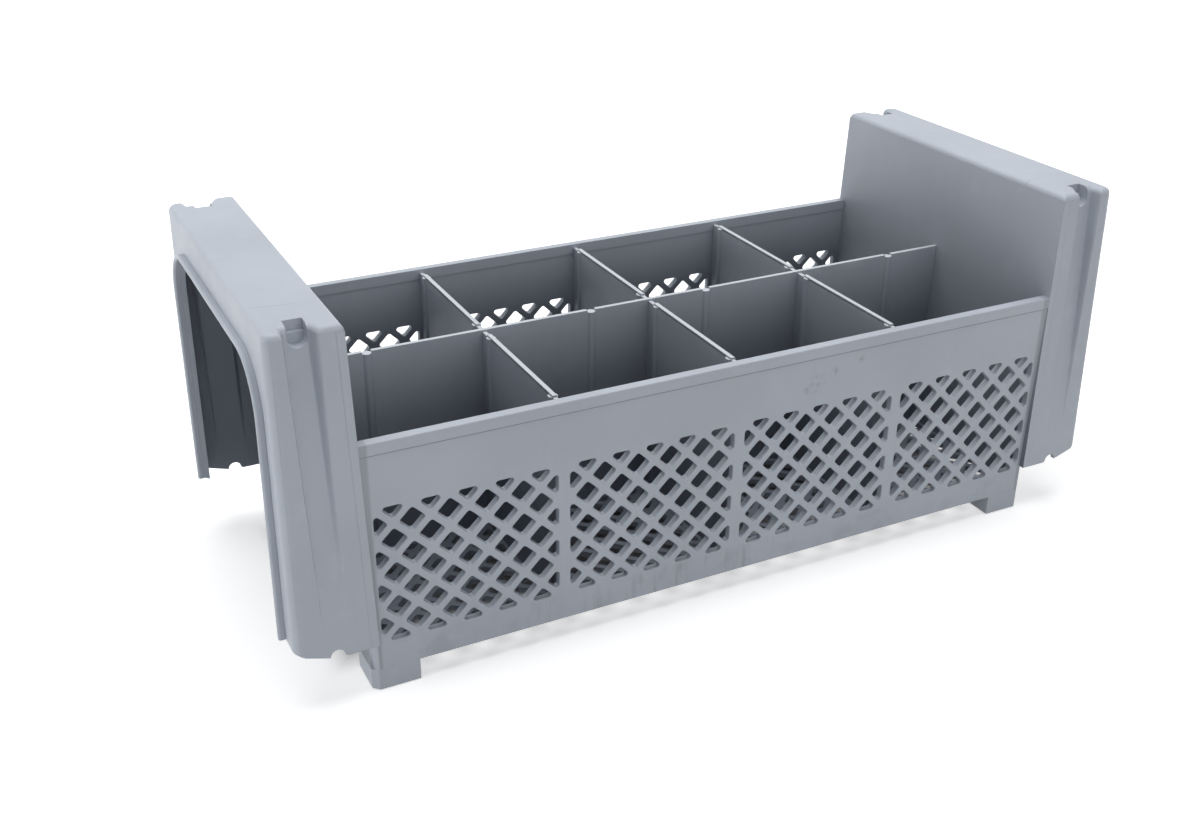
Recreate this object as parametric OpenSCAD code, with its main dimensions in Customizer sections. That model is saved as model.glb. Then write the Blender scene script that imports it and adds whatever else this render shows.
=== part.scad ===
// Open-topped basket for a commercial dish and glass washer: eight compartments between
// two long latticed walls, a latticed floor on four corner feet, and a hollow arched
// handle at each end. +X runs along the length, +Y to the rear and +Z up. The origin is
// in the middle of the plan, on the surface that the feet stand on.

/* [Overall] */
// Length over the outer faces of the two handles, at their tops
overall_l = 430; // [370:1:520]
// Depth over the rims of the two long walls
body_d = 181; // [150:1:220]
// Height of the handles
overall_h = 175; // [145:1:215]

/* [Long walls] */
// Thickness of the long walls
wall_t = 3.8; // [3:0.1:5]
// Height of the rims
rim_h = 122; // [110:1:134]
// Height of a rim's outer face
rim_band = 5.5; // [4:0.5:8]
// Width of a rim's top face
rim_w = 4.6; // [4.6:0.1:7]
// How far the walls lie behind the outer faces of the rims
panel_step = 0.4; // [0:0.1:0.8]

/* [Lattice] */
// Height of the lowest openings
lattice_low = 24.4; // [20:0.2:34]
// Height of the highest openings
lattice_high = 91; // [76:1:104]
// Size of a lattice cell
cell = 16.8; // [12:0.2:24]
// Width of the slanting struts
strut_w = 3.4; // [2.4:0.1:4.6]
// Width of the plain ribs between neighbouring lattices
rib_w = 5.7; // [3:0.1:10]

/* [Floor] */
// Thickness of the floor
floor_t = 3.2; // [2:0.1:5]

/* [Dividers] */
// Thickness of the dividers
divider_t = 2.2; // [1.6:0.1:3.6]
// Height of the dividers' top edges
divider_h = 121; // [100:1:121]
// Diameter of the round ribs that stiffen the dividers
boss_d = 4.6; // [4:0.1:7]
// Distance of these ribs from the ends of a cross divider
boss_inset = 8; // [6:0.5:14]
// Distance of these ribs from the middle, and from the ends, of the long divider
boss_spacing = 33; // [16:1:40]
// Drop of the top edge at a rib, and from there to the end of a cross divider
boss_drop = 1; // [0.5:0.1:3]

/* [Feet] */
// Height of the feet, and so of the walls' lower edges
foot_h = 10.7; // [6:0.1:15]
// Length of a foot
foot_l = 22; // [14:0.5:40]
// Depth of a foot
foot_d = 21; // [14:0.5:34]
// Chamfer of the vertical corners, on the feet and under the flanks
foot_chamfer = 2.8; // [0.5:0.1:3.2]

/* [Handles] */
// Width of a handle at its top
handle_w = 32; // [30:0.5:44]
// Thickness of the top, the flanks and the arched panel
shell_t = 2.8; // [2:0.1:3.6]
// Thickness of the end walls
end_wall_t = 3.6; // [3.4:0.1:5]
// Radius of the top edges
edge_r = 3; // [1:0.1:3.6]
// Radius of the outer vertical corners
corner_r = 4.5; // [3.7:0.1:8]
// Draft of the end walls, in degrees
inner_draft = 1.2; // [0:0.1:2]
// Draft of the arched panels, in degrees
outer_draft = 0.6; // [0:0.1:2]
// Draft of the flanks, in degrees
flank_draft = 1.55; // [0:0.05:2]
// Height of the flanks' lower edge, beside the end wall
flank_low = 25.4; // [16:0.2:32]
// Height of the same edge, at the arched panel
skirt_low = 31; // [26:0.2:40]
// Radius of the drain notch in this edge
notch_r = 3.3; // [1.5:0.1:5]

/* [Arch] */
// Width of the solid leg on each side of an arch, at the top of the flank
leg_w = 12.4; // [11:0.2:30]
// Height of the solid band above an arch
crown_h = 17.5; // [12:0.5:30]
// Radius of an arch's upper corners
arch_r = 23; // [8:0.5:40]
// How far the lip stands proud of the panel
lip_proud = 3.2; // [1:0.1:6]
// Thickness of the lip
lip_t = 2.4; // [1:0.1:4]

/* [Flank channels] */
// Distance of a channel's mouth from the inner edge of the flank, at the top
channel_edge = 9.5; // [8.5:0.5:12]
// Width of its mouth, at the top
channel_w = 15; // [12:0.5:16]
// Width of its mouth, at the lower end
channel_low_w = 11.5; // [6:0.5:14]
// Depth at the top
channel_depth = 6.5; // [3:0.5:8]
// Height at which it runs out
channel_low = 45; // [40:1:100]
// Width of each sloping side, at the top
channel_slope = 3; // [1:0.5:4]
// Width of the stacking pocket in its top
pocket_w = 8; // [5:0.5:9]
// Depth of the pocket behind the channel's floor
pocket_depth = 6.5; // [4:0.5:9]
// Depth of the pocket's back step
pocket_step = 2; // [1:0.5:3]
// Height of the pocket
pocket_h = 9.5; // [8:0.5:20]

/* [Hidden] */

plastic = [0.60, 0.63, 0.67];
spread = 20;        // how far cutting shapes reach past what they cut
arc_steps = 8;      // straight steps in a quarter of an outline's arc
columns = 4;        // compartments in a row
over = 1;           // how far a channel's cut runs past the top
channel_shift = 1;  // how far a channel's inner edge moves in from bottom to top
skin_side = 0.8;    // share of a channel's wall thickness that stands beside its mouth
pocket_thin = 0.6;  // how much thinner than the shell the walls round a pocket are
notch_rise = 0.2;   // height of a drain notch's centre above the lower edge, per radius

rim_y = body_d / 2;
panel_y = rim_y - panel_step;
wall_y = panel_y - wall_t;
rim_low = rim_h - rim_band;
floor_top = foot_h + floor_t;
top_low = overall_h - shell_t;

// Places of the leaning faces at height z: the end wall's face towards the compartments,
// its back, the arched panel's outer face and its back, and the flank's outer face
function inner_x(z) = overall_l / 2 - handle_w - (overall_h - z) * tan(inner_draft);
function back_x(z) = inner_x(z) + end_wall_t;
function outer_x(z) = overall_l / 2 + (overall_h - z) * tan(outer_draft);
function panel_back_x(z) = outer_x(z) - shell_t;
function flank_y(z) = rim_y + (rim_low - z) * tan(flank_draft);

pitch = 2 * inner_x(rim_h / 2) / columns;
foot_out = back_x(foot_h);
arch_y = flank_y(overall_h) - leg_w;
arch_top = overall_h - crown_h;
pocket_x = inner_x(overall_h) + channel_edge + channel_w / 2;
pocket_r = pocket_w / 2;
notch_x = inner_x(flank_low) + (outer_x(flank_low) - inner_x(flank_low)) / 2;

// ---- Shapes that repeat ----

// A quarter of an arc about [x, y], as points from angle a
function arc(x, y, r, a) =
    [for (i = [0:arc_steps]) [x, y] + r * [cos(a + 90 * i / arc_steps), sin(a + 90 * i / arc_steps)]];

// A band between two leaning lines, from z0 to z1
function band(x0a, x1a, z0, x0b, x1b, z1) = [[x0a, z0], [x1a, z0], [x1b, z1], [x0b, z1]];

// An outline drawn in X and Z, made y0 to y1 thick
module across(y0, y1) {
    translate([0, y1, 0]) rotate([90, 0, 0]) linear_extrude(y1 - y0) children();
}

// An outline drawn in Y and Z, made x0 to x1 thick
module along(x0, x1) {
    translate([x0, 0, 0]) rotate([90, 0, 90]) linear_extrude(x1 - x0) children();
}

// Half sizes of an opening: half a cell less half a strut
function opening(w, h) = [w, h] / 2 * (1 - strut_w * norm([w, h]) / (w * h));

// Openings between x0, y0 and x1, y1: whole diamonds inside and half ones at the edges
module openings(x0, y0, x1, y1) {
    nx = max(1, round((x1 - x0) / cell));
    ny = max(1, round((y1 - y0) / cell));
    w = (x1 - x0) / nx;
    h = (y1 - y0) / ny;
    a = opening(w, h);
    for (i = [0:nx], j = [0:ny]) {
        if (i < nx) translate([x0 + (i + 0.5) * w, y0 + j * h]) diamond(a, 0, ny, j);
        if (j < ny) translate([x0 + i * w, y0 + (j + 0.5) * h]) diamond(a, 1, nx, i);
    }
}

// A diamond opening, cut in half across axis at the first and last place in its row
module diamond(a, axis, last, place) {
    out = axis == 0 ? [0, a[1]] : [a[0], 0];
    side = axis == 0 ? [a[0], 0] : [0, a[1]];
    polygon(concat([-side], place > 0 ? [-out] : [], [side], place < last ? [out] : []));
}

module lattice_row(y0, y1) {
    for (i = [0:columns - 1]) {
        x0 = (i - columns / 2) * pitch + rib_w / 2;
        openings(x0, y0, x0 + pitch - rib_w, y1);
    }
}

// The convex solid over a list of points
module solid_over(points) {
    hull() polyhedron(points, [[for (i = [0:len(points) - 1]) i]]);
}

module at_corner(side_x, side_y) {
    mirror([side_x < 0 ? 1 : 0, 0, 0]) mirror([0, side_y < 0 ? 1 : 0, 0]) children();
}

// ---- Walls, rims and floor ----

module long_wall() {
    across(wall_y, panel_y) difference() {
        polygon(band(-inner_x(foot_h), inner_x(foot_h), foot_h,
                     -inner_x(rim_low), inner_x(rim_low), rim_low));
        lattice_row(lattice_low, lattice_high);
    }
}

module rim() {
    across(rim_y - rim_w, rim_y)
        polygon(band(-inner_x(rim_low), inner_x(rim_low), rim_low,
                     -inner_x(rim_h), inner_x(rim_h), rim_h));
}

module floor_grid() color(plastic) {
    x = inner_x(foot_h);
    translate([0, 0, foot_h]) linear_extrude(floor_t) difference() {
        translate([-x, -wall_y]) square([2 * x, 2 * wall_y]);
        lattice_row(-wall_y + rib_w / 2, -rib_w / 2);
        lattice_row(rib_w / 2, wall_y - rib_w / 2);
    }
}

module front_wall() color(plastic) mirror([0, 1, 0]) long_wall();
module rear_wall() color(plastic) long_wall();
module front_rim() color(plastic) mirror([0, 1, 0]) rim();
module rear_rim() color(plastic) rim();

// ---- Dividers ----

module boss() {
    translate([0, 0, floor_top]) cylinder(d = boss_d, h = divider_h - boss_drop - floor_top, $fn = 32);
}

module boss_cut() {
    translate([0, 0, divider_h - boss_drop + spread / 2])
        cube([boss_d, boss_d, spread], center = true);
}

module long_divider() color(plastic) {
    places = [boss_spacing, inner_x(divider_h) - boss_spacing];
    difference() {
        across(-divider_t / 2, divider_t / 2)
            polygon(band(-inner_x(floor_top), inner_x(floor_top), floor_top,
                         -inner_x(divider_h), inner_x(divider_h), divider_h));
        for (x = places, s = [-1, 1]) translate([s * x, 0, 0]) boss_cut();
    }
    for (x = places, s = [-1, 1]) translate([s * x, 0, 0]) boss();
}

// Runs from the long divider's face to the wall, lower at both ends
module cross_divider() {
    y0 = divider_t / 2;
    low = divider_h - boss_drop;
    ends = [y0 + boss_inset, wall_y - boss_inset];
    // The rim overhangs the wall, so the upper corner steps back under it
    along(-divider_t / 2, divider_t / 2) polygon([
        [y0, floor_top], [wall_y, floor_top], [wall_y, rim_low],
        [rim_y - rim_w, rim_low], [rim_y - rim_w, low],
        [ends[1] + boss_d / 2, low], [ends[1] + boss_d / 2, divider_h],
        [ends[0] - boss_d / 2, divider_h], [ends[0] - boss_d / 2, low], [y0, low]
    ]);
    for (y = ends) translate([0, y, 0]) boss();
}

module divider_at(column, side_y) {
    translate([column * pitch, 0, 0]) at_corner(1, side_y) cross_divider();
}

module front_divider_left() color(plastic) divider_at(-1, -1);
module front_divider_middle() color(plastic) divider_at(0, -1);
module front_divider_right() color(plastic) divider_at(1, -1);
module rear_divider_left() color(plastic) divider_at(-1, 1);
module rear_divider_middle() color(plastic) divider_at(0, 1);
module rear_divider_right() color(plastic) divider_at(1, 1);

// ---- Feet ----

module foot() {
    linear_extrude(foot_h) polygon([
        [foot_out - foot_l, panel_y - foot_d], [foot_out, panel_y - foot_d],
        [foot_out, panel_y - foot_chamfer], [foot_out - foot_chamfer, panel_y],
        [foot_out - foot_l, panel_y]
    ]);
}

module front_left_foot() color(plastic) at_corner(-1, -1) foot();
module front_right_foot() color(plastic) at_corner(1, -1) foot();
module rear_left_foot() color(plastic) at_corner(-1, 1) foot();
module rear_right_foot() color(plastic) at_corner(1, 1) foot();

// ---- Handles ----

// Plan of the right handle's outside at height z, shrunk by inset, as points.
// It is square towards the compartments and rounded outside.
function handle_plan(z, inset) = let(
    x0 = inner_x(z) + inset,
    r = corner_r - inset,
    x = outer_x(z) - corner_r,
    y = flank_y(z) - inset,
    plan = concat([[x0, y], [x0, -y]], arc(x, r - y, r, -90), arc(x, y - r, r, 0))
) [for (p = plan) [p[0], p[1], z]];

// Outside of the right handle, solid, with a rounded top
module handle_form() {
    solid_over(concat(handle_plan(0, 0), [
        for (i = [0:arc_steps], p = handle_plan(
            overall_h - edge_r * (1 - sin(90 * i / arc_steps)),
            edge_r * (1 - cos(90 * i / arc_steps))
        )) p
    ]));
}

// Everything above the lower edge of the flanks and the arched panel
module above_skirt() {
    x0 = inner_x(0) - spread;
    x1 = outer_x(0) + spread;
    across(-body_d, body_d) difference() {
        polygon([[x0, flank_low], [notch_x, flank_low], [notch_x, flank_low + notch_r / 2],
                 [outer_x(0), skirt_low], [x1, skirt_low], [x1, top_low], [x0, top_low]]);
        translate([notch_x, flank_low + notch_r * notch_rise]) circle(notch_r, $fn = 32);
    }
}

// Section of a flank channel at height z, as points; a skin above 0 gives the wall
// behind it
function channel_section(z, skin) = let(
    share = (z - channel_low) / (overall_h - channel_low),
    slope = channel_slope * share,
    side = skin * skin_side,
    x0 = inner_x(overall_h) + channel_edge - channel_shift * (1 - share),
    x1 = x0 + channel_low_w + (channel_w - channel_low_w) * share,
    mouth = skin > 0 ? flank_y(z) - skin / 2 : flank_y(z),
    floor_y = flank_y(z) - channel_depth * share - skin,
    outside = flank_y(z) + (skin > 0 ? -skin / 4 : spread)
) [
    [x0 - side, outside, z], [x0 - side, mouth, z],
    [x0 + slope - skin / 2, floor_y, z], [x1 - slope + skin / 2, floor_y, z],
    [x1 + side, mouth, z], [x1 + side, outside, z]
];

module channel(skin = 0) {
    solid_over(concat(channel_section(overall_h + over, skin), channel_section(channel_low, skin)));
}

// The stacking pocket at the top of a channel; a skin above 0 gives the wall round it
module pocket(skin = 0) {
    floor_y = flank_y(overall_h) - channel_depth;
    z = overall_h - pocket_h + pocket_r;
    r = pocket_r + skin;
    front = skin > 0 ? floor_y - shell_t / 2 : floor_y + spread;
    across(floor_y - pocket_depth + pocket_step - skin, front) translate([pocket_x, 0])
        polygon(concat([[-r, overall_h + spread]], arc(0, z, r, 180), arc(0, z, r, 270),
                       [[r, overall_h + spread]]));
    // The back is deeper above the step
    across(floor_y - pocket_depth - skin, front)
        translate([pocket_x - r, z - skin]) square([2 * r, pocket_h + spread]);
}

module handle_top() {
    difference() {
        intersection() {
            handle_form();
            translate([0, -body_d, top_low]) cube([overall_l, 2 * body_d, spread]);
        }
        for (s = [-1, 1]) at_corner(1, s) {
            channel();
            pocket();
        }
    }
}

module end_wall() {
    intersection() {
        handle_form();
        across(-body_d, body_d)
            polygon(band(0, back_x(foot_h), foot_h, 0, back_x(top_low), top_low));
        union() {
            translate([0, -body_d, flank_low]) cube([overall_l, 2 * body_d, overall_h]);
            linear_extrude(overall_h) polygon([
                [0, -panel_y], [foot_out - foot_chamfer, -panel_y],
                [foot_out, -panel_y + foot_chamfer], [foot_out + spread, -panel_y + foot_chamfer],
                [foot_out + spread, panel_y - foot_chamfer], [foot_out, panel_y - foot_chamfer],
                [foot_out - foot_chamfer, panel_y], [0, panel_y]
            ]);
        }
    }
}

// Turns what is drawn on an upright plane onto the arched panel's leaning face
module on_panel() {
    translate([outer_x(0), 0, 0]) rotate([0, -outer_draft, 0]) children();
}

// Outline of the arch, grown by extra and open below
function arch(extra) = let(y = arch_y + extra, r = arch_r + extra, z = arch_top + extra - r) concat(
    [[y, skirt_low]], arc(y - r, z, r, 0), arc(-y + r, z, r, 90), [[-y, skirt_low]]
);

module arch_panel() {
    difference() {
        intersection() {
            handle_form();
            across(-body_d, body_d)
                polygon(band(panel_back_x(0), outer_x(0) + spread, 0,
                             panel_back_x(top_low), outer_x(0) + spread, top_low));
            above_skirt();
        }
        on_panel() along(-spread, spread)
            polygon(concat([[arch_y, 0]], arch(0), [[-arch_y, 0]]));
    }
}

module arch_lip() {
    inside = arch(0);
    on_panel() along(0, lip_proud)
        polygon(concat(arch(lip_t), [for (i = [len(inside) - 1:-1:0]) inside[i]]));
}

module flank() {
    top_y = flank_y(overall_h) - shell_t;
    difference() {
        intersection() {
            handle_form();
            across(0, body_d)
                polygon(band(back_x(0), panel_back_x(0), 0,
                             back_x(top_low), panel_back_x(top_low), top_low));
            above_skirt();
            union() {
                along(0, overall_l) polygon([
                    [flank_y(0) - shell_t, 0], [flank_y(0) + spread, 0],
                    [flank_y(0) + spread, overall_h], [top_y, overall_h]
                ]);
                channel(shell_t);
                pocket(shell_t - pocket_thin);
            }
        }
        channel();
        pocket();
    }
}

module left_end_wall() color(plastic) at_corner(-1, 1) end_wall();
module right_end_wall() color(plastic) at_corner(1, 1) end_wall();
module left_handle_top() color(plastic) at_corner(-1, 1) handle_top();
module right_handle_top() color(plastic) at_corner(1, 1) handle_top();
module left_arch_panel() color(plastic) at_corner(-1, 1) arch_panel();
module right_arch_panel() color(plastic) at_corner(1, 1) arch_panel();
module left_arch_lip() color(plastic) at_corner(-1, 1) arch_lip();
module right_arch_lip() color(plastic) at_corner(1, 1) arch_lip();
module front_left_flank() color(plastic) at_corner(-1, -1) flank();
module front_right_flank() color(plastic) at_corner(1, -1) flank();
module rear_left_flank() color(plastic) at_corner(-1, 1) flank();
module rear_right_flank() color(plastic) at_corner(1, 1) flank();

front_wall();
rear_wall();
front_rim();
rear_rim();
floor_grid();
long_divider();
front_divider_left();
front_divider_middle();
front_divider_right();
rear_divider_left();
rear_divider_middle();
rear_divider_right();
front_left_foot();
front_right_foot();
rear_left_foot();
rear_right_foot();
left_end_wall();
right_end_wall();
left_handle_top();
right_handle_top();
left_arch_panel();
right_arch_panel();
left_arch_lip();
right_arch_lip();
front_left_flank();
front_right_flank();
rear_left_flank();
rear_right_flank();
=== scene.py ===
"""Looks of the washer basket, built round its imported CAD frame. Lengths are in metres."""

import math

import bmesh
import bpy
from mathutils import Matrix, Vector
from mathutils.bvhtree import BVHTree
from mathutils.geometry import delaunay_2d_cdt


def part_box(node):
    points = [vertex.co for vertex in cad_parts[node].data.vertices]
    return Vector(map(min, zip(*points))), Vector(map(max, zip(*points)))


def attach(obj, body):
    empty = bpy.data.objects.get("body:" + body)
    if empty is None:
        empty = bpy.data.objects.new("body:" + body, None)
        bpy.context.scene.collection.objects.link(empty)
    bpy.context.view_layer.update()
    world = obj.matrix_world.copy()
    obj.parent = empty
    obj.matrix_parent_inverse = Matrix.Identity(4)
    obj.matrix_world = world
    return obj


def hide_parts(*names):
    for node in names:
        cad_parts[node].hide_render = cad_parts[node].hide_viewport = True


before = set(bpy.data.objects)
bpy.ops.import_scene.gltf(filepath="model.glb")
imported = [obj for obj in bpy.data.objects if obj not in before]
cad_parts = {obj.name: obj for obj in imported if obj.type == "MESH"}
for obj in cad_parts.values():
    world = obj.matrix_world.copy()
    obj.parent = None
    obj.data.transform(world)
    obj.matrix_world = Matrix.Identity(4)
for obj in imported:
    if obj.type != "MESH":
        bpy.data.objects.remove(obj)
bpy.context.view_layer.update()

MM = 0.001
CORNERS = [(end, side) for end in ("left", "right") for side in ("front", "rear")]

# ---- Sizes that the frame's boxes don't give ----

SEAM_GAP = 0.05 * MM        # faces nearer than this to another member are seams
SEAM_PLACES = (0.3, 0.5, 0.7)           # where along an edge a seam is looked for
WELD = 0.002 * MM           # corners nearer than this are one
FLAT = math.radians(0.4)    # faces that meet at less than this are one
SHARP = math.radians(28)    # edges sharper than this are rounded
CREASE = math.radians(35)   # edges sharper than this are shaded as edges

RIM_BEVEL = 0.5 * MM        # rounding of the edges of each kind of member
DIVIDER_BEVEL = 0.25 * MM
FOOT_BEVEL = 0.5 * MM
END_BEVEL = 0.8 * MM
LIP_BEVEL = 1.1 * MM

PANEL_BEVEL = 0.45 * MM     # rounding of the latticed plates' edges
PANEL_BEVEL_ANGLES = (0, 35, 90)        # where its rings lie, in degrees
OPENING_R = 1.25 * MM       # corner radius of the lattice openings
STRUT = 3.4 * MM            # width of the lattice's struts
RIB = 5.7 * MM              # width of the ribs between lattices
CELLS = (5, 4)              # lattice cells in a wall panel, along and up
FLOOR_CELLS = (5, 5)        # lattice cells in the floor of a compartment
LATTICE_Z = (24.4 * MM, 91 * MM)        # lower and upper end of the walls' lattices
INSIDE_ONLY = 1             # kind of triangulation: nothing outside the outline
CLOSE = 1e-9                # points nearer than this are one to it

SHELL = 2.8 * MM            # thickness of a handle's top, flanks and arched panel
SPARE = 0.3 * MM            # keeps its inside clear of the cuts between members
TOP_R = 3 * MM              # rounding of a handle's top edges
OUTER_R = 4.5 * MM          # rounding of its outer vertical corners
INNER_R = 1 * MM            # rounding of its vertical edges by the compartments
LEAST_INNER_R = 0.3 * MM    # what is left of both roundings on the inside of the shell
LEAST_OUTER_R = 1.2 * MM
CHANNEL_IN = 9.5 * MM       # channel's mouth from the handle's inner face, at the top
CHANNEL_W = (11.5 * MM, 15 * MM)    # width of the mouth, at its lower end and the top
CHANNEL_DEPTH = 6.5 * MM
CHANNEL_SLOPES = (4.2 * MM, 1.6 * MM)   # widths of its inner and outer side, at the top
CHANNEL_LOW_SLOPE = 0.35    # share of these widths that is left where it runs out
CHANNEL_LOW = 45 * MM       # height at which the channel runs out
CHANNEL_SKIN = 0.8          # share of the wall thickness beside the channel's mouth
POCKET_R = 4 * MM           # half width of the stacking pocket
POCKET_H = 9.5 * MM         # its height
POCKET_DEEP = 6.5 * MM      # its depth behind the channel's floor
POCKET_STEP = 2 * MM        # how much less deep it is below its step
POCKET_STEP_UP = 1 * MM     # height of the step above the centre of its round end
POCKET_WALL = 2.2 * MM      # thickness of the wall round it
POCKET_WALL_IN = 1.4 * MM   # how far behind the channel's floor that wall starts
POCKET_WALL_TOP = 1 * MM    # how far below the top it ends
ARCH_R = 23 * MM            # radius of the arch's upper corners
CROWN = 17.5 * MM           # band above the arch
NOTCH_R = 3.3 * MM          # drain notch under each flank
NOTCH_RISE = 0.2            # height of its centre above the lower edge, per radius
NOTCH_EDGE = 1 * MM         # flat edge kept beside it
NOTCH_CLEAR = 0.2 * MM      # its arc starts this far above the lower edge
SKIRT_DROP = 1 * MM         # the lower edge under the outer corner, below the panel's
SKIRT_RISE = 1.5 * MM       # the lower edge at the panel's face, above its lowest point
SKIRT_FAR = 2.5 * MM        # the same where the cut leaves the handle
UNDER = 5 * MM              # how far a handle's shell starts below its flanks
PAST = 20 * MM              # how far cutting shapes reach past the handle
ARCH_CUT = 12 * MM          # how far in the arch is cut
SIDE = 200 * MM             # half width of cuts that run right across the handle
ROUND_STEPS = 16            # straight steps in a cutter's arcs
CHANNEL_STEPS = 8           # steps across each side of a channel
LEVELS = 10                 # rings up the straight part of a handle
TOP_STEPS = 6               # steps in the rounding of its top and outer corners


# ---- Small helpers ----


def new_object(name, mesh):
    obj = bpy.data.objects.new(name, mesh)
    bpy.context.scene.collection.objects.link(obj)
    return obj


def from_bmesh(name, bm):
    mesh = bpy.data.meshes.new(name)
    bm.to_mesh(mesh)
    bm.free()
    return new_object(name, mesh)


def smooth(obj):
    """Smooth shading that leaves flat faces flat and real edges sharp."""
    for polygon in obj.data.polygons:
        polygon.use_smooth = True
    obj.data.set_sharp_from_angle(angle=CREASE)
    weighted = obj.modifiers.new("weighted_normals", "WEIGHTED_NORMAL")
    weighted.keep_sharp = True


def apply_modifiers(obj):
    """Replaces the object's mesh by what its modifiers make of it."""
    graph = bpy.context.evaluated_depsgraph_get()
    mesh = bpy.data.meshes.new_from_object(obj.evaluated_get(graph))
    obj.modifiers.clear()
    old, obj.data = obj.data, mesh
    bpy.data.meshes.remove(old)


def settle(obj, node, material):
    """Puts a finished piece in the place of its CAD node."""
    obj.data.materials.clear()
    obj.data.materials.append(material)
    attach(obj, "root")
    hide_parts(node)


def arc(centre, radius, start, steps, turn=90):
    """Points of an arc from the angle start, in degrees."""
    angles = [math.radians(start + turn * i / steps) for i in range(steps + 1)]
    return [(centre[0] + radius * math.cos(a), centre[1] + radius * math.sin(a)) for a in angles]


def line_through(a, b):
    """The straight line through two (z, value) points, as a function of z."""
    slope = (b[1] - a[1]) / (b[0] - a[0])
    return lambda z: a[1] + slope * (z - a[0])


# ---- Places, from the frame ----

top_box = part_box("right_handle_top")
end_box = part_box("right_end_wall")
panel_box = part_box("right_arch_panel")
flank_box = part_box("rear_right_flank")
wall_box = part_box("rear_wall")
front_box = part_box("front_wall")
floor_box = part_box("floor_grid")
lip_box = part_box("right_arch_lip")
divider_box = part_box("rear_divider_right")

HEIGHT = top_box[1].z
SEAM_Z = top_box[0].z
FLANK_LOW = flank_box[0].z
SKIRT_LOW = panel_box[0].z
PITCH = (divider_box[0].x + divider_box[1].x) / 2

inner_x = line_through((end_box[0].z, end_box[0].x), (SEAM_Z, top_box[0].x))
outer_x = line_through((SKIRT_LOW, panel_box[1].x), (SEAM_Z, top_box[1].x))
flank_y = line_through((FLANK_LOW, end_box[1].y), (SEAM_Z, top_box[1].y))
END_WALL = flank_box[0].x - inner_x(FLANK_LOW)
ARCH_TOP = HEIGHT - CROWN
ARCH_Y = lip_box[1].y - (lip_box[1].z - ARCH_TOP)


# ---- Members made from their CAD solids, with rounded edges ----


def tree_of_others(node):
    """Everything in the frame but this node, for finding where it meets its neighbours."""
    verts, faces = [], []
    for name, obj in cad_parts.items():
        if name == node:
            continue
        start = len(verts)
        verts += [v.co for v in obj.data.vertices]
        faces += [[start + i for i in p.vertices] for p in obj.data.polygons]
    return BVHTree.FromPolygons(verts, faces)


def clean_solid(node):
    """The CAD node's mesh with its triangles joined into whole faces."""
    bm = bmesh.new()
    bm.from_mesh(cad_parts[node].data)
    bmesh.ops.remove_doubles(bm, verts=bm.verts, dist=WELD)
    bmesh.ops.dissolve_limit(bm, angle_limit=FLAT, verts=bm.verts, edges=bm.edges)
    bm.normal_update()
    return bm


def round_edges(bm, node, radius, segments=3):
    """Rounds the sharp edges, but not those where another member touches this one."""
    tree = tree_of_others(node)
    covered = {
        f for f in bm.faces
        if tree.find_nearest(f.calc_center_median() + f.normal * SEAM_GAP / 2, SEAM_GAP)[0]
    }
    edges = [
        e for e in bm.edges
        if len(e.link_faces) == 2
        and e.calc_face_angle(0) > SHARP
        and not covered.intersection(e.link_faces)
        and not touches(tree, e)
    ]
    bmesh.ops.bevel(
        bm, geom=edges, offset=radius, segments=segments, profile=0.5,
        affect="EDGES", clamp_overlap=True,
    )
    bmesh.ops.dissolve_degenerate(bm, dist=WELD, edges=bm.edges)


def touches(tree, edge):
    """Whether the edge runs along another member."""
    a, b = (v.co for v in edge.verts)
    return all(tree.find_nearest(a.lerp(b, share), SEAM_GAP)[0] for share in SEAM_PLACES)


def refined(node, material, radius):
    """Shows a node as its CAD solid with edges rounded to this radius."""
    bm = clean_solid(node)
    round_edges(bm, node, radius)
    obj = from_bmesh("shown_" + node, bm)
    smooth(obj)
    settle(obj, node, material)


# ---- Latticed plates ----


def rounded_loop(points, radius, grow, steps=3):
    """A closed outline with rounded corners, grown outwards by grow."""
    out = []
    for i, corner in enumerate(points):
        p = Vector(corner)
        a = (Vector(points[i - 1]) - p).normalized()
        b = (Vector(points[(i + 1) % len(points)]) - p).normalized()
        half = a.angle(b) / 2
        centre = p + (a + b).normalized() * (radius / math.sin(half))
        start = (p + a * (radius / math.tan(half)) - centre).normalized()
        end = (p + b * (radius / math.tan(half)) - centre).normalized()
        turn = start.angle(end)
        for k in range(steps + 1):
            t = k / steps
            way = (start * math.sin((1 - t) * turn) + end * math.sin(t * turn)) / math.sin(turn)
            out.append(centre + way * (radius + grow))
    return out


def opening_loops(x0, y0, x1, y1, cells):
    """The lattice's openings in a rectangle: whole diamonds, and half ones at its edges."""
    nx, ny = cells
    w, h = (x1 - x0) / nx, (y1 - y0) / ny
    shrink = 1 - STRUT * math.hypot(w, h) / (w * h)
    a, b = Vector((w / 2 * shrink, 0)), Vector((0, h / 2 * shrink))
    loops = []
    for i in range(nx + 1):
        for j in range(ny + 1):
            if i < nx:
                loops.append(diamond(Vector((x0 + (i + 0.5) * w, y0 + j * h)), a, b, j > 0, j < ny))
            if j < ny:
                loops.append(diamond(Vector((x0 + i * w, y0 + (j + 0.5) * h)), b, a, i > 0, i < nx))
    return loops


def diamond(centre, side, out, has_low, has_high):
    """Corners of an opening, without its lower or upper half where the lattice ends."""
    loop = [centre - side]
    loop += [centre - out] if has_low else []
    loop += [centre + side]
    loop += [centre + out] if has_high else []
    return loop


def lattice_loops(y0, y1, cells):
    """The openings of a row of four lattices, one to a compartment."""
    loops = []
    for column in range(-2, 2):
        x0 = column * PITCH + RIB / 2
        loops += opening_loops(x0, y0, x0 + PITCH - RIB, y1, cells)
    return loops


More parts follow.
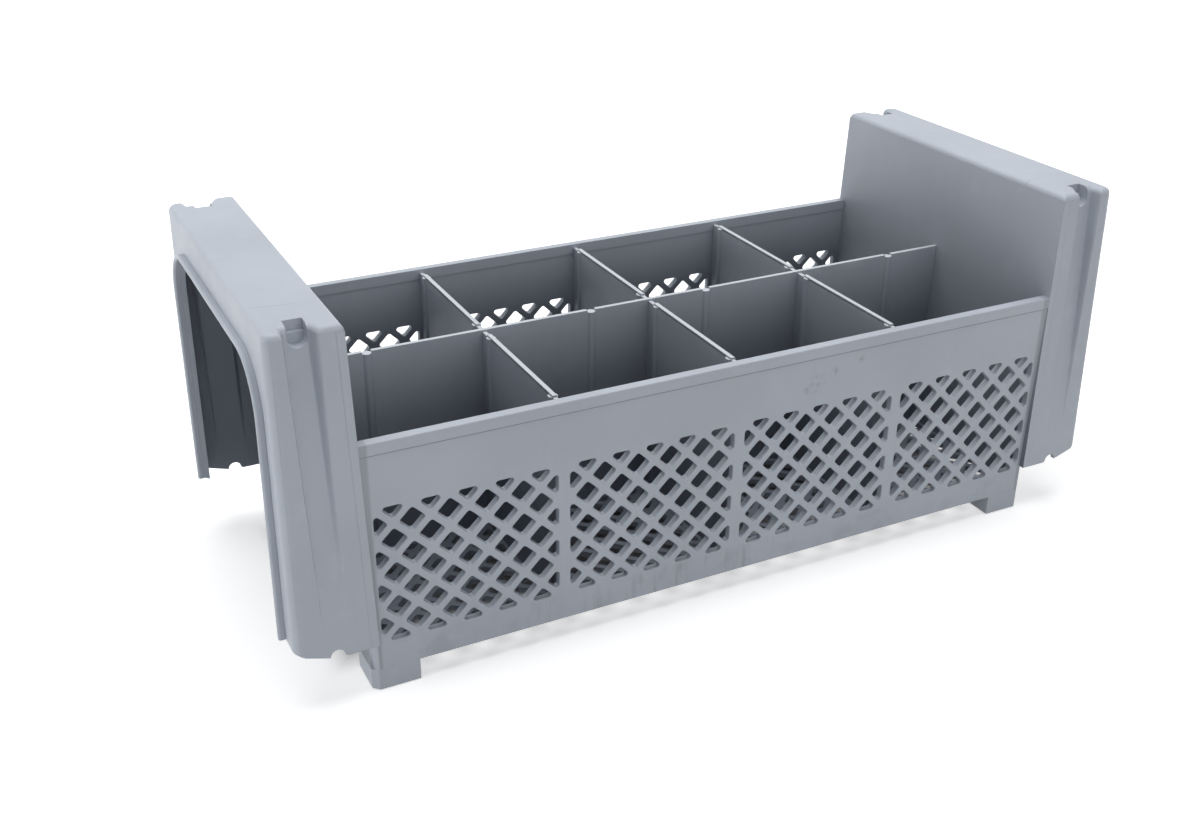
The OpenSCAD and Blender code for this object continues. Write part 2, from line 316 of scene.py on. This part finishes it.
def plate(name, outline, holes, thickness, turn):
    """A flat plate with openings whose edges are rounded, drawn flat and turned into place."""
    levels = []
    for angle in map(math.radians, PANEL_BEVEL_ANGLES):
        grow = PANEL_BEVEL * (1 - math.sin(angle))
        levels.append((grow, thickness / 2 - PANEL_BEVEL * (1 - math.cos(angle))))
    levels += [(grow, -z) for grow, z in reversed(levels)]
    bm = bmesh.new()
    edge = [[bm.verts.new((*p, z)) for p in outline] for z in (thickness / 2, -thickness / 2)]
    join_rings(bm, edge)
    stacks = [edge]
    for hole in holes:
        stack = [[bm.verts.new((*p, z)) for p in rounded_loop(hole, OPENING_R, grow)]
                 for grow, z in levels]
        join_rings(bm, stack)
        stacks.append(stack)
    fill_between(bm, [stack[0] for stack in stacks])
    fill_between(bm, [stack[-1] for stack in stacks])
    bmesh.ops.recalc_face_normals(bm, faces=bm.faces)
    obj = from_bmesh(name, bm)
    obj.data.transform(turn)
    return obj


def fill_between(bm, loops):
    """Fills the flat area inside the first loop and outside the others, which are convex."""
    corners = [(v, i) for i, loop in enumerate(loops) for v in loop]
    edges, start = [], 0
    for loop in loops:
        edges += [(start + i, start + (i + 1) % len(loop)) for i in range(len(loop))]
        start += len(loop)
    places = [v.co.xy for v, _ in corners]
    _, _, faces, sources, _, _ = delaunay_2d_cdt(places, edges, [], INSIDE_ONLY, CLOSE)
    for face in faces:
        ends = [corners[sources[i][0]] for i in face]
        if len({loop for _, loop in ends}) > 1 or ends[0][1] == 0:
            bm.faces.new([v for v, _ in ends])


def upright(y):
    """Turns a plate drawn in X and Y up into X and Z, at this Y."""
    return Matrix.Translation((0, y, 0)) @ Matrix.Rotation(math.pi / 2, 4, "X")


def long_wall(side, material):
    """A long wall, whose ends lean with the end walls."""
    low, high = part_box(side + "_wall")
    outline = [
        (-inner_x(low.z), low.z), (inner_x(low.z), low.z),
        (inner_x(high.z), high.z), (-inner_x(high.z), high.z),
    ]
    holes = lattice_loops(*LATTICE_Z, CELLS)
    turn = upright((low.y + high.y) / 2)
    obj = plate(f"shown_{side}_wall", outline, holes, high.y - low.y, turn)
    smooth(obj)
    settle(obj, side + "_wall", material)


def floor_grid(material):
    low, high = floor_box
    outline = [(low.x, low.y), (high.x, low.y), (high.x, high.y), (low.x, high.y)]
    inside = high.y - RIB / 2
    holes = lattice_loops(-inside, -RIB / 2, FLOOR_CELLS)
    holes += lattice_loops(RIB / 2, inside, FLOOR_CELLS)
    turn = Matrix.Translation((0, 0, (low.z + high.z) / 2))
    obj = plate("shown_floor_grid", outline, holes, high.z - low.z, turn)
    smooth(obj)
    settle(obj, "floor_grid", material)


# ---- Handles: a lofted shell, cut where its members meet ----


def ease(t):
    """Rises smoothly from 0 to 1 as t does."""
    return 3 * t * t - 2 * t ** 3


def handle_plan(z, inset, inner_inset):
    """Outline of the right handle at height z, as (x, y) points. It is shrunk by
    inner_inset towards the compartments and by inset elsewhere."""
    share = max(0, (z - CHANNEL_LOW) / (HEIGHT - CHANNEL_LOW))
    depth = CHANNEL_DEPTH * share
    slope_share = CHANNEL_LOW_SLOPE + (1 - CHANNEL_LOW_SLOPE) * share
    slope_in, slope_out = (slope * slope_share for slope in CHANNEL_SLOPES)
    mouth = inner_x(HEIGHT) + CHANNEL_IN - inset * CHANNEL_SKIN
    width = CHANNEL_W[0] + (CHANNEL_W[1] - CHANNEL_W[0]) * share
    end = mouth + width + 2 * inset * CHANNEL_SKIN
    x0, x1, y = inner_x(z) + inner_inset, outer_x(z) - inset, flank_y(z) - inset
    small = max(INNER_R - inset, LEAST_INNER_R)
    round_r = max(OUTER_R - inset, LEAST_OUTER_R)
    half = arc((x0 + small, y - small), small, 180, 4, -90)
    steps = [step / CHANNEL_STEPS for step in range(CHANNEL_STEPS + 1)]
    half += [(mouth + slope_in * t, y - depth * ease(t)) for t in steps]
    half += [(end - slope_out * (1 - t), y - depth * (1 - ease(t))) for t in steps]
    half += arc((x1 - round_r, y - round_r), round_r, 90, TOP_STEPS, -90)
    return half + [(px, -py) for px, py in reversed(half)]


def handle_shell():
    """The right handle whole: outside and inside surfaces, joined at an open bottom."""
    base = FLANK_LOW - UNDER
    rise = HEIGHT - TOP_R - CHANNEL_LOW
    straight = [base] + [CHANNEL_LOW + rise * i / LEVELS for i in range(LEVELS)]
    outside = [(z, 0) for z in straight]
    for i in range(TOP_STEPS + 1):
        a = math.radians(90 * i / TOP_STEPS)
        outside.append((HEIGHT - TOP_R * (1 - math.sin(a)), TOP_R * (1 - math.cos(a))))
    inside = straight + [HEIGHT - SHELL + SPARE]
    bm = bmesh.new()
    outer = [ring(bm, z, handle_plan(z, d, d)) for z, d in outside]
    inner = [ring(bm, z, handle_plan(z, SHELL - SPARE, END_WALL - SPARE)) for z in inside]
    join_rings(bm, outer)
    join_rings(bm, inner[::-1])
    join_rings(bm, [inner[0], outer[0]])
    bm.faces.new(outer[-1])
    bm.faces.new(inner[-1][::-1])
    bmesh.ops.recalc_face_normals(bm, faces=bm.faces)
    return bm


def ring(bm, z, plan):
    return [bm.verts.new((x, y, z)) for x, y in plan]


def join_rings(bm, rings):
    """Faces between neighbouring rings."""
    for low, high in zip(rings, rings[1:]):
        for i, _ in enumerate(low):
            bm.faces.new((low[i - 1], low[i], high[i], high[i - 1]))


def prism(points, axis, start, end):
    """A solid drawn as an outline across one axis, from start to end along it."""
    bm = bmesh.new()
    place = {
        "X": lambda u, v, w: (w, u, v),
        "Y": lambda u, v, w: (u, w, v),
    }[axis]
    rings = [[bm.verts.new(place(u, v, w)) for u, v in points] for w in (start, end)]
    join_rings(bm, rings)
    bm.faces.new(rings[0])
    bm.faces.new(rings[1])
    bmesh.ops.recalc_face_normals(bm, faces=bm.faces)
    return from_bmesh("cutter", bm)


def cut(obj, cutters, operation="DIFFERENCE"):
    """Takes each cutter away from the object, or adds it, and removes the cutter."""
    for cutter in cutters:
        modifier = obj.modifiers.new("cut", "BOOLEAN")
        modifier.operation = operation
        modifier.solver = "EXACT"
        modifier.object = cutter
        apply_modifiers(obj)
        bpy.data.objects.remove(cutter)


def arch_cutter():
    z = ARCH_TOP - ARCH_R
    points = [(ARCH_Y, 0)] + arc((ARCH_Y - ARCH_R, z), ARCH_R, 0, ROUND_STEPS)
    points += [(-y, v) for y, v in reversed(points)]
    return prism(points, "X", outer_x(0) - ARCH_CUT, outer_x(0) + PAST)


def skirt_cutter():
    """What lies under the flanks and the arched panel, with the drain notch."""
    middle = (inner_x(FLANK_LOW) + outer_x(FLANK_LOW)) / 2
    far = outer_x(0) + PAST
    centre = (middle, FLANK_LOW + NOTCH_R * NOTCH_RISE)
    notch = arc(centre, NOTCH_R, 180, ROUND_STEPS, -180)
    points = [(0, 0), (0, FLANK_LOW), (middle - NOTCH_R - NOTCH_EDGE, FLANK_LOW)]
    points += [p for p in notch if p[1] > FLANK_LOW + NOTCH_CLEAR]
    points += [(outer_x(SKIRT_LOW) - OUTER_R, SKIRT_LOW - SKIRT_DROP)]
    points += [(outer_x(0), SKIRT_LOW + SKIRT_RISE), (far, SKIRT_LOW + SKIRT_FAR), (far, 0)]
    return prism(points, "Y", -SIDE, SIDE)


# Place of the pockets: the middle of the channel, the centre of their round end, and
# the channel's floor
pocket_x = inner_x(HEIGHT) + CHANNEL_IN + CHANNEL_W[1] / 2
pocket_z = HEIGHT - POCKET_H + POCKET_R
channel_floor = flank_y(HEIGHT) - CHANNEL_DEPTH


def pocket_outline(radius, top):
    """A round-ended slot, open at the top."""
    lower = arc((pocket_x, pocket_z), radius, 180, ROUND_STEPS, 180)
    return [(pocket_x - radius, top), *lower, (pocket_x + radius, top)]


def pocket_cutters():
    """The stacking pockets at both ends of the top, each with a step in its back."""
    top, step = HEIGHT + PAST / 2, pocket_z + POCKET_STEP_UP
    left, right = pocket_x - POCKET_R, pocket_x + POCKET_R
    deep = [(left, top), (left, step), (right, step), (right, top)]
    back = channel_floor - POCKET_DEEP
    made = []
    for side in (-1, 1):
        shallow = pocket_outline(POCKET_R, top)
        made.append(prism(shallow, "Y", side * (back + POCKET_STEP), side * SIDE))
        made.append(prism(deep, "Y", side * back, side * SIDE))
    return made


def pocket_walls():
    """Blocks that back the pockets inside the hollow handle."""
    outline = pocket_outline(POCKET_R + POCKET_WALL, HEIGHT - POCKET_WALL_TOP)
    y0 = channel_floor - POCKET_DEEP - POCKET_WALL
    y1 = channel_floor - POCKET_WALL_IN
    return [prism(outline, "Y", side * y0, side * y1) for side in (-1, 1)]


def keep_part(source, name, planes):
    """A copy of what lies behind each plane, given as (point, outward normal), closed again."""
    bm = bmesh.new()
    bm.from_mesh(source.data)
    for point, normal in planes:
        geometry = bm.verts[:] + bm.edges[:] + bm.faces[:]
        result = bmesh.ops.bisect_plane(
            bm, geom=geometry, plane_co=point, plane_no=normal, clear_outer=True, dist=WELD / 2
        )
        edges = [e for e in result["geom_cut"] if isinstance(e, bmesh.types.BMEdge)]
        bmesh.ops.triangle_fill(bm, edges=edges, use_beauty=True, normal=normal)
    bmesh.ops.recalc_face_normals(bm, faces=bm.faces)
    return from_bmesh(name, bm)


def lean_normal(line):
    """Normal, towards +X, of an upright face whose x at height z is line(z)."""
    return Vector((1, 0, -(line(HEIGHT) - line(0)) / HEIGHT)).normalized()


def mirrored(obj, name):
    """A copy on the other end."""
    mesh = obj.data.copy()
    mesh.transform(Matrix.Scale(-1, 4, (1, 0, 0)))
    mesh.flip_normals()
    return new_object(name, mesh)


def handles(plastics):
    """All the shells of both handles, in the material named by each node's last word."""
    shell = from_bmesh("handle_shell", handle_shell())
    cut(shell, pocket_walls(), "UNION")
    cut(shell, [arch_cutter(), skirt_cutter(), *pocket_cutters()])
    up, down = Vector((0, 0, 1)), Vector((0, 0, -1))
    seam = Vector((0, 0, SEAM_Z))
    back = Vector((flank_box[0].x, 0, FLANK_LOW))
    behind_panel = Vector((outer_x(SKIRT_LOW) - SHELL, 0, SKIRT_LOW))
    inner_n, outer_n = lean_normal(inner_x), lean_normal(outer_x)
    between = [(seam, up), (back, -inner_n), (behind_panel, outer_n)]
    parts = {
        "right_handle_top": [(seam, down)],
        "right_arch_panel": [(seam, up), (behind_panel, -outer_n)],
        "rear_right_flank": [*between, (Vector(), Vector((0, -1, 0)))],
        "front_right_flank": [*between, (Vector(), Vector((0, 1, 0)))],
    }
    for node, planes in parts.items():
        right = keep_part(shell, "shown_" + node, planes)
        left_node = node.replace("right", "left")
        left = mirrored(right, "shown_" + left_node)
        for obj, name in ((right, node), (left, left_node)):
            smooth(obj)
            settle(obj, name, plastics[node.split("_")[-1]])
    bpy.data.objects.remove(shell)


# ---- Materials ----


def node_at(tree, kind, **settings):
    node = tree.nodes.new(kind)
    for key, value in settings.items():
        setattr(node, key, value)
    return node


class Shading:
    """Short ways to add shader nodes to one node tree."""

    def __init__(self, tree):
        self.tree = tree
        self.place = node_at(tree, "ShaderNodeTexCoord").outputs["Object"]
        self.facing = node_at(tree, "ShaderNodeNewGeometry").outputs["True Normal"]

    def link(self, value, socket):
        if hasattr(value, "is_linked"):
            self.tree.links.new(value, socket)
        else:
            socket.default_value = value

    def math(self, operation, first, second=0.0, clamp=False):
        node = node_at(self.tree, "ShaderNodeMath", operation=operation, use_clamp=clamp)
        self.link(first, node.inputs[0])
        self.link(second, node.inputs[1])
        return node.outputs[0]

    def stretched(self, scale):
        """Object coordinates scaled on each axis, for streaks."""
        node = node_at(self.tree, "ShaderNodeMapping")
        node.inputs["Scale"].default_value = scale
        self.link(self.place, node.inputs["Vector"])
        return node.outputs[0]

    def noise(self, scale, detail, vector=None):
        node = node_at(self.tree, "ShaderNodeTexNoise")
        node.inputs["Scale"].default_value = scale
        node.inputs["Detail"].default_value = detail
        self.link(vector or self.place, node.inputs["Vector"])
        return node.outputs["Fac"]

    def ramp(self, value, low, high, from_value=0.0, to_value=1.0):
        """Maps low..high onto from_value..to_value, smoothly and without overshoot."""
        node = node_at(self.tree, "ShaderNodeMapRange", interpolation_type="SMOOTHSTEP")
        self.link(value, node.inputs["Value"])
        node.inputs["From Min"].default_value = low
        node.inputs["From Max"].default_value = high
        node.inputs["To Min"].default_value = from_value
        node.inputs["To Max"].default_value = to_value
        return node.outputs["Result"]

    def axis(self, name, vector=None):
        """One component of a vector, or of the place on the piece."""
        node = node_at(self.tree, "ShaderNodeSeparateXYZ")
        self.link(vector or self.place, node.inputs[0])
        return node.outputs[name]

    def band(self, value, centre, half, soft):
        """1 where value lies within half of centre, fading out over soft."""
        off = self.math("ABSOLUTE", self.math("SUBTRACT", value, centre))
        return self.ramp(off, half, half + soft, 1.0, 0.0)

    def blend(self, share, first, second):
        node = node_at(self.tree, "ShaderNodeMix", data_type="RGBA")
        self.link(share, node.inputs["Factor"])
        self.link(first, node.inputs[6])
        self.link(second, node.inputs[7])
        return node.outputs[2]

    def blob(self, centre, radius):
        """1 near a place on the piece, fading to 0 at radius."""
        node = node_at(self.tree, "ShaderNodeVectorMath", operation="DISTANCE")
        self.link(self.place, node.inputs[0])
        node.inputs[1].default_value = centre
        return self.ramp(node.outputs["Value"], 0, radius, 1.0, 0.0)


def rgb(colour, share=1.0):
    return (*[c * share for c in colour], 1)


GREY = (0.42, 0.455, 0.512)
# Pale of the washed plastic, also used as a painted highlight on the divider tops
CHALK_AND_HIGHLIGHT = (0.62, 0.65, 0.69)
# Colour of the painted shade inside the basket and its handles
PAINTED_SHADE = (0.10, 0.115, 0.145)

SCUFFS = ((42, 104, 7), (52, 107, 5), (37, 101, 4), (66, 112, 4))   # x, z, radius in mm
SHADOW_LINE_IN = 2.5 * MM          # how far the painted shadow line at a long wall's end lies from that end
WITNESS = (188 * MM, 22 * MM)           # centre of the curved line on a handle's top
WITNESS_R = 83 * MM


def plastic(name, extra=None):
    """Matt moulded polypropylene, washed many times: chalky corners and faint streaks."""
    material = bpy.data.materials.new(name)
    material.use_nodes = True
    make = Shading(material.node_tree)
    shader = make.tree.nodes["Principled BSDF"]
    broad = make.noise(11, 4)
    colour = make.blend(make.ramp(broad, 0.3, 0.7), rgb(GREY, 0.95), rgb(GREY, 1.04))
    streaks = make.noise(1, 3, make.stretched((150, 150, 9)))
    colour = make.blend(make.ramp(streaks, 0.55, 0.8, 0, 0.12), colour, rgb(GREY, 0.8))
    haze = make.noise(60, 5)
    colour = make.blend(make.ramp(haze, 0.58, 0.75, 0, 0.12), colour, rgb(CHALK_AND_HIGHLIGHT))
    rough = make.ramp(haze, 0.3, 0.7, 0.40, 0.52)
    if extra:
        colour, rough = extra(make, colour, rough)
    make.link(colour, shader.inputs["Base Color"])
    make.link(rough, shader.inputs["Roughness"])
    shader.inputs["IOR"].default_value = 1.49
    shader.inputs["Specular IOR Level"].default_value = 0.45
    edge = node_at(make.tree, "ShaderNodeBevel", samples=3)
    edge.inputs["Radius"].default_value = 0.25 * MM
    bump = node_at(make.tree, "ShaderNodeBump")
    bump.inputs["Strength"].default_value = 0.25
    bump.inputs["Distance"].default_value = 0.04 * MM
    make.link(make.math("ADD", make.noise(1300, 2), make.noise(160, 2)), bump.inputs["Height"])
    make.link(edge.outputs[0], bump.inputs["Normal"])
    make.link(bump.outputs["Normal"], shader.inputs["Normal"])
    return material


def shade_towards_bottom(make, colour, share, low, high):
    """Painted shade, darker towards the bottom: share at the height low."""
    height = make.ramp(make.axis("Z"), low, high, 1.0, 0.0)
    return make.blend(make.math("MULTIPLY", height, share), colour, rgb(PAINTED_SHADE))


def looks_in(make, axis):
    """1 on faces that look towards the middle of the basket along this axis."""
    side = make.math("SIGN", make.axis(axis))
    return make.ramp(make.math("MULTIPLY", make.axis(axis, make.facing), side), -0.3, -0.7)


# Painted shade over the whole piece, for the floor grid deep inside the basket.
def painted_shade_over_all(make, colour, rough):
    return make.blend(0.9, colour, rgb(PAINTED_SHADE)), rough


def end_with_painted_shade(make, colour, rough):
    """End wall: painted shade on the face towards the compartments, darker towards the bottom, and
    painted shade on its faces inside the hollow handle.
    """
    inside = looks_in(make, "X")
    across = make.ramp(make.math("ABSOLUTE", make.axis("Y", make.facing)), 0.3, 0.6)
    hollow = make.math("SUBTRACT", 1, make.math("ADD", inside, across, True), True)
    colour = shade_towards_bottom(make, colour, make.math("MULTIPLY", inside, 0.85), 20 * MM, HEIGHT)
    return make.blend(make.math("MULTIPLY", hollow, 0.75), colour, rgb(PAINTED_SHADE)), rough


def hollow_with_painted_shade(axis):
    """Faces that look into the hollow handle along this axis get painted shade, below the top."""
    def hollow_shade(make, colour, rough):
        deep = make.ramp(make.axis("Z"), HEIGHT - 12 * MM, HEIGHT - 20 * MM)
        share = make.math("MULTIPLY", make.math("MULTIPLY", looks_in(make, axis), deep), 0.75)
        return make.blend(share, colour, rgb(PAINTED_SHADE)), rough
    return hollow_shade


def divider_wear_light_and_shade(make, colour, rough):
    """Upper edges of the dividers: a painted highlight on their upward faces and pale wear just
    below, over sides with painted shade that darkens towards the bottom.
    """
    # Painted shade on the sides, darker towards the bottom.
    colour = shade_towards_bottom(make, colour, 0.95, 45 * MM, divider_box[1].z + 25 * MM)
    # Painted highlight on the faces that look up, near the top.
    up = make.ramp(make.axis("Z", make.facing), 0.5, 0.9)
    high = make.ramp(make.axis("Z"), divider_box[1].z - 6 * MM, divider_box[1].z - 1.5 * MM)
    share = make.math("MULTIPLY", make.math("MULTIPLY", up, high), 0.7)
    below = make.math("MULTIPLY", make.ramp(make.noise(45, 3), 0.5, 0.75, 0, 0.35), high)
    colour = make.blend(below, colour, rgb(CHALK_AND_HIGHLIGHT, 0.8))
    return make.blend(share, colour, rgb(CHALK_AND_HIGHLIGHT)), rough


def scuffed_and_shaded_wall(make, colour, rough):
    """Dark rubs on the band over the lattice, and upright rubs below it; painted shade on the inner
    faces, darker towards the bottom, and painted shadow lines under the rim's step and at the
    panel's ends.
    """
    z = make.axis("Z")
    # Painted shade on the faces towards the middle, darker towards the bottom.
    colour = shade_towards_bottom(make, colour, make.math("MULTIPLY", looks_in(make, "Y"), 0.9),
                  50 * MM, wall_box[1].z + 15 * MM)
    rubs = make.noise(1, 5, make.stretched((330, 60, 30)))
    low = make.band(z, floor_box[1].z + 2 * MM, 5 * MM, 5 * MM)
    worn = make.band(make.axis("X"), -PITCH / 2, 45 * MM, 60 * MM)
    where = make.math("MULTIPLY", low, worn)
    share = make.math("MULTIPLY", make.ramp(rubs, 0.5, 0.75, 0, 0.4), where)
    colour = make.blend(share, colour, rgb(GREY, 0.5))
    grime = make.math("MULTIPLY", make.ramp(make.noise(75, 4), 0.5, 0.7, 0, 0.2), low)
    colour = make.blend(grime, colour, rgb(GREY, 0.5))
    # Painted shadow lines under the rim's step and at the panel's ends, on the outer faces only.
    step = make.band(z, wall_box[1].z - 0.25 * MM, 0.2 * MM, 0.25 * MM)
    from_middle = make.math("ABSOLUTE", make.axis("X"))
    end = make.math("SUBTRACT", front_box[1].x - SHADOW_LINE_IN, from_middle)
    sides = make.math("MULTIPLY", make.ramp(end, 1.6 * MM, 0, 0, 1), 0.6)
    seam = make.math("MULTIPLY", make.math("MAXIMUM", step, sides), 0.7)
    outer = make.math("SUBTRACT", 1, looks_in(make, "Y"))
    colour = make.blend(make.math("MULTIPLY", seam, outer), colour, rgb(GREY, 0.4))
    for x, height, radius in SCUFFS:
        spot = make.blob((x * MM, front_box[0].y, height * MM), radius * MM)
        mottled = make.math("MULTIPLY", spot, make.ramp(make.noise(320, 4), 0.42, 0.7, 0, 0.55))
        colour = make.blend(mottled, colour, rgb(GREY, 0.5))
    return colour, rough


def marked_top(make, colour, rough):
    """The curved witness line of the mould on a handle's top."""
    node = node_at(make.tree, "ShaderNodeVectorMath", operation="DISTANCE")
    make.link(make.place, node.inputs[0])
    side = make.math("SIGN", make.axis("X"))
    centre = node_at(make.tree, "ShaderNodeCombineXYZ")
    make.link(make.math("MULTIPLY", side, WITNESS[0]), centre.inputs[0])
    centre.inputs[1].default_value = WITNESS[1]
    centre.inputs[2].default_value = HEIGHT
    make.link(centre.outputs[0], node.inputs[1])
    line = make.band(node.outputs["Value"], WITNESS_R, 0.1 * MM, 0.25 * MM)
    broken = make.ramp(make.noise(45, 2), 0.38, 0.6)
    share = make.math("MULTIPLY", make.math("MULTIPLY", line, broken), 0.55)
    return make.blend(share, colour, rgb(GREY, 0.5)), rough


# ---- The piece ----

grey = plastic("grey_plastic")
ends = plastic("end_plastic", end_with_painted_shade)
handle_plastics = {
    "flank": plastic("flank_plastic", hollow_with_painted_shade("Y")),
    "panel": plastic("panel_plastic", hollow_with_painted_shade("X")),
    "top": plastic("top_plastic", marked_top),
}
base = plastic("base_plastic", painted_shade_over_all)
walls = plastic("wall_plastic", scuffed_and_shaded_wall)
dividers = plastic("divider_plastic", divider_wear_light_and_shade)

for side_name in ("front", "rear"):
    long_wall(side_name, walls)
    refined(side_name + "_rim", walls, RIM_BEVEL)
    for column_name in ("left", "middle", "right"):
        refined(f"{side_name}_divider_{column_name}", dividers, DIVIDER_BEVEL)
for end_name, side_name in CORNERS:
    refined(f"{side_name}_{end_name}_foot", grey, FOOT_BEVEL)
for end_name in ("left", "right"):
    refined(end_name + "_end_wall", ends, END_BEVEL)
    refined(end_name + "_arch_lip", grey, LIP_BEVEL)
refined("long_divider", dividers, DIVIDER_BEVEL)
floor_grid(base)
handles(handle_plastics)


# ---- Surroundings ----

FLOOR_SIZE = 12
FLOOR_DROP = 0.2 * MM       # keeps the floor clear of the feet
FLOOR_GREY = 0.70           # tone of the floor as it lights the basket
FLOOR_TONES = (0.12, 0.86)  # tones that the camera sees: the painted shadow under the basket, and the open floor
FLOOR_LIFT = 0.47           # glow that the camera sees on the open floor
SHADOW_FADE = (-48 * MM, -16 * MM)        # where the lift fades in past the painted shadow under the basket, from the basket's outline
FAR_LIFT = (0.3, 1.2)       # where the far floor turns white, from the same
FILL = (0.96, 0.98, 1)      # the even light from all round
FILL_STRENGTH = 0.26
WHITE = (1, 1, 1)

LENS = 41.48
CAMERA_PLACE = (-0.3166, -0.5688, 0.3837)
CAMERA_FORWARD = (0.4056, 0.7977, -0.4463)
CAMERA_RIGHT = (0.893, -0.450, 0.0072)

# Place, target, size and power of each lamp
LAMPS = {
    "overhead": ((0.02, 0.25, 1.6), (0, 0, 0.05), (1.8, 1.6), 26),
    "left_low": ((-1.5, 0.1, 0.2), (-0.2, 0, 0.09), (1.0, 0.35), 6.6),
    "front": ((0.1, -1.7, 0.5), (0, 0, 0.08), (1.2, 0.7), 5),
}


def seen_apart(make, lighting, seen):
    """One shader for the light on the basket, and another for what the camera sees."""
    rays = node_at(make.tree, "ShaderNodeLightPath").outputs
    direct = make.math("ADD", rays["Is Camera Ray"], rays["Is Transmission Ray"])
    direct = make.math("ADD", direct, rays["Is Glossy Ray"], True)
    mix = node_at(make.tree, "ShaderNodeMixShader")
    make.link(direct, mix.inputs[0])
    make.link(lighting.outputs[0], mix.inputs[1])
    make.link(seen.outputs[0], mix.inputs[2])
    return mix.outputs[0]


def floor_lift_and_shadow(make):
    """The pale floor's lift, which fades out under the basket, leaving a painted shadow there."""
    past = [
        make.math("SUBTRACT", make.math("ABSOLUTE", make.axis(axis)), half)
        for axis, half in (("X", top_box[1].x), ("Y", wall_box[1].y))
    ]
    reach = make.math("MAXIMUM", *past)
    lift = make.ramp(reach, *SHADOW_FADE, 0, FLOOR_LIFT)
    return make.math("ADD", lift, make.ramp(reach, *FAR_LIFT))


def make_floor():
    bpy.ops.mesh.primitive_plane_add(size=FLOOR_SIZE, location=(0, 0, -FLOOR_DROP))
    floor = bpy.context.object
    floor.name = "floor"
    material = bpy.data.materials.new("pale_floor")
    material.use_nodes = True
    material.node_tree.nodes.clear()
    make = Shading(material.node_tree)
    plain = node_at(make.tree, "ShaderNodeBsdfDiffuse")
    plain.inputs["Color"].default_value = rgb([FLOOR_GREY] * 3)
    surface = node_at(make.tree, "ShaderNodeBsdfDiffuse")
    glow = node_at(make.tree, "ShaderNodeEmission")
    lift = floor_lift_and_shadow(make)
    make.link(lift, glow.inputs["Strength"])
    # The floor's tone for the camera: dark under the basket as a painted shadow, pale in the open.
    tone = node_at(make.tree, "ShaderNodeMapRange")
    make.link(lift, tone.inputs["Value"])
    tone.inputs["From Max"].default_value = FLOOR_LIFT
    tone.inputs["To Min"].default_value, tone.inputs["To Max"].default_value = FLOOR_TONES
    make.link(tone.outputs["Result"], surface.inputs["Color"])
    lifted = node_at(make.tree, "ShaderNodeAddShader")
    make.link(surface.outputs[0], lifted.inputs[0])
    make.link(glow.outputs[0], lifted.inputs[1])
    output = node_at(make.tree, "ShaderNodeOutputMaterial")
    make.link(seen_apart(make, plain, lifted), output.inputs[0])
    floor.data.materials.append(material)


def background(make, colour, strength):
    shader = node_at(make.tree, "ShaderNodeBackground")
    shader.inputs["Color"].default_value = rgb(colour)
    shader.inputs["Strength"].default_value = strength
    return shader


def make_world():
    """Soft light from all round, and plain white where the camera looks past the floor."""
    world = bpy.data.worlds.new("studio")
    bpy.context.scene.world = world
    world.use_nodes = True
    world.node_tree.nodes.clear()
    make = Shading(world.node_tree)
    fill = background(make, FILL, FILL_STRENGTH)
    white = background(make, WHITE, 1)
    output = node_at(make.tree, "ShaderNodeOutputWorld")
    make.link(seen_apart(make, fill, white), output.inputs[0])


def lamp(name, place, target, size, power):
    light = bpy.data.lights.new(name, "AREA")
    light.shape = "RECTANGLE"
    light.size, light.size_y = size
    light.energy = power
    obj = new_object(name, light)
    obj.location = place
    obj.rotation_euler = (Vector(target) - Vector(place)).to_track_quat("-Z", "Y").to_euler()


def make_camera():
    """The camera, at the viewing angle of the original."""
    data = bpy.data.cameras.new("camera")
    data.sensor_width = 36
    data.lens = LENS
    camera = new_object("camera", data)
    forward = Vector(CAMERA_FORWARD).normalized()
    right = Vector(CAMERA_RIGHT).normalized()
    up = right.cross(forward).normalized()
    turn = Matrix((right, up, -forward)).transposed().to_4x4()
    camera.matrix_world = Matrix.Translation(CAMERA_PLACE) @ turn
    bpy.context.scene.camera = camera


make_camera()
make_floor()
make_world()
for lamp_name, settings in LAMPS.items():
    lamp(lamp_name, *settings)

bpy.context.scene.view_settings.view_transform = "Standard"
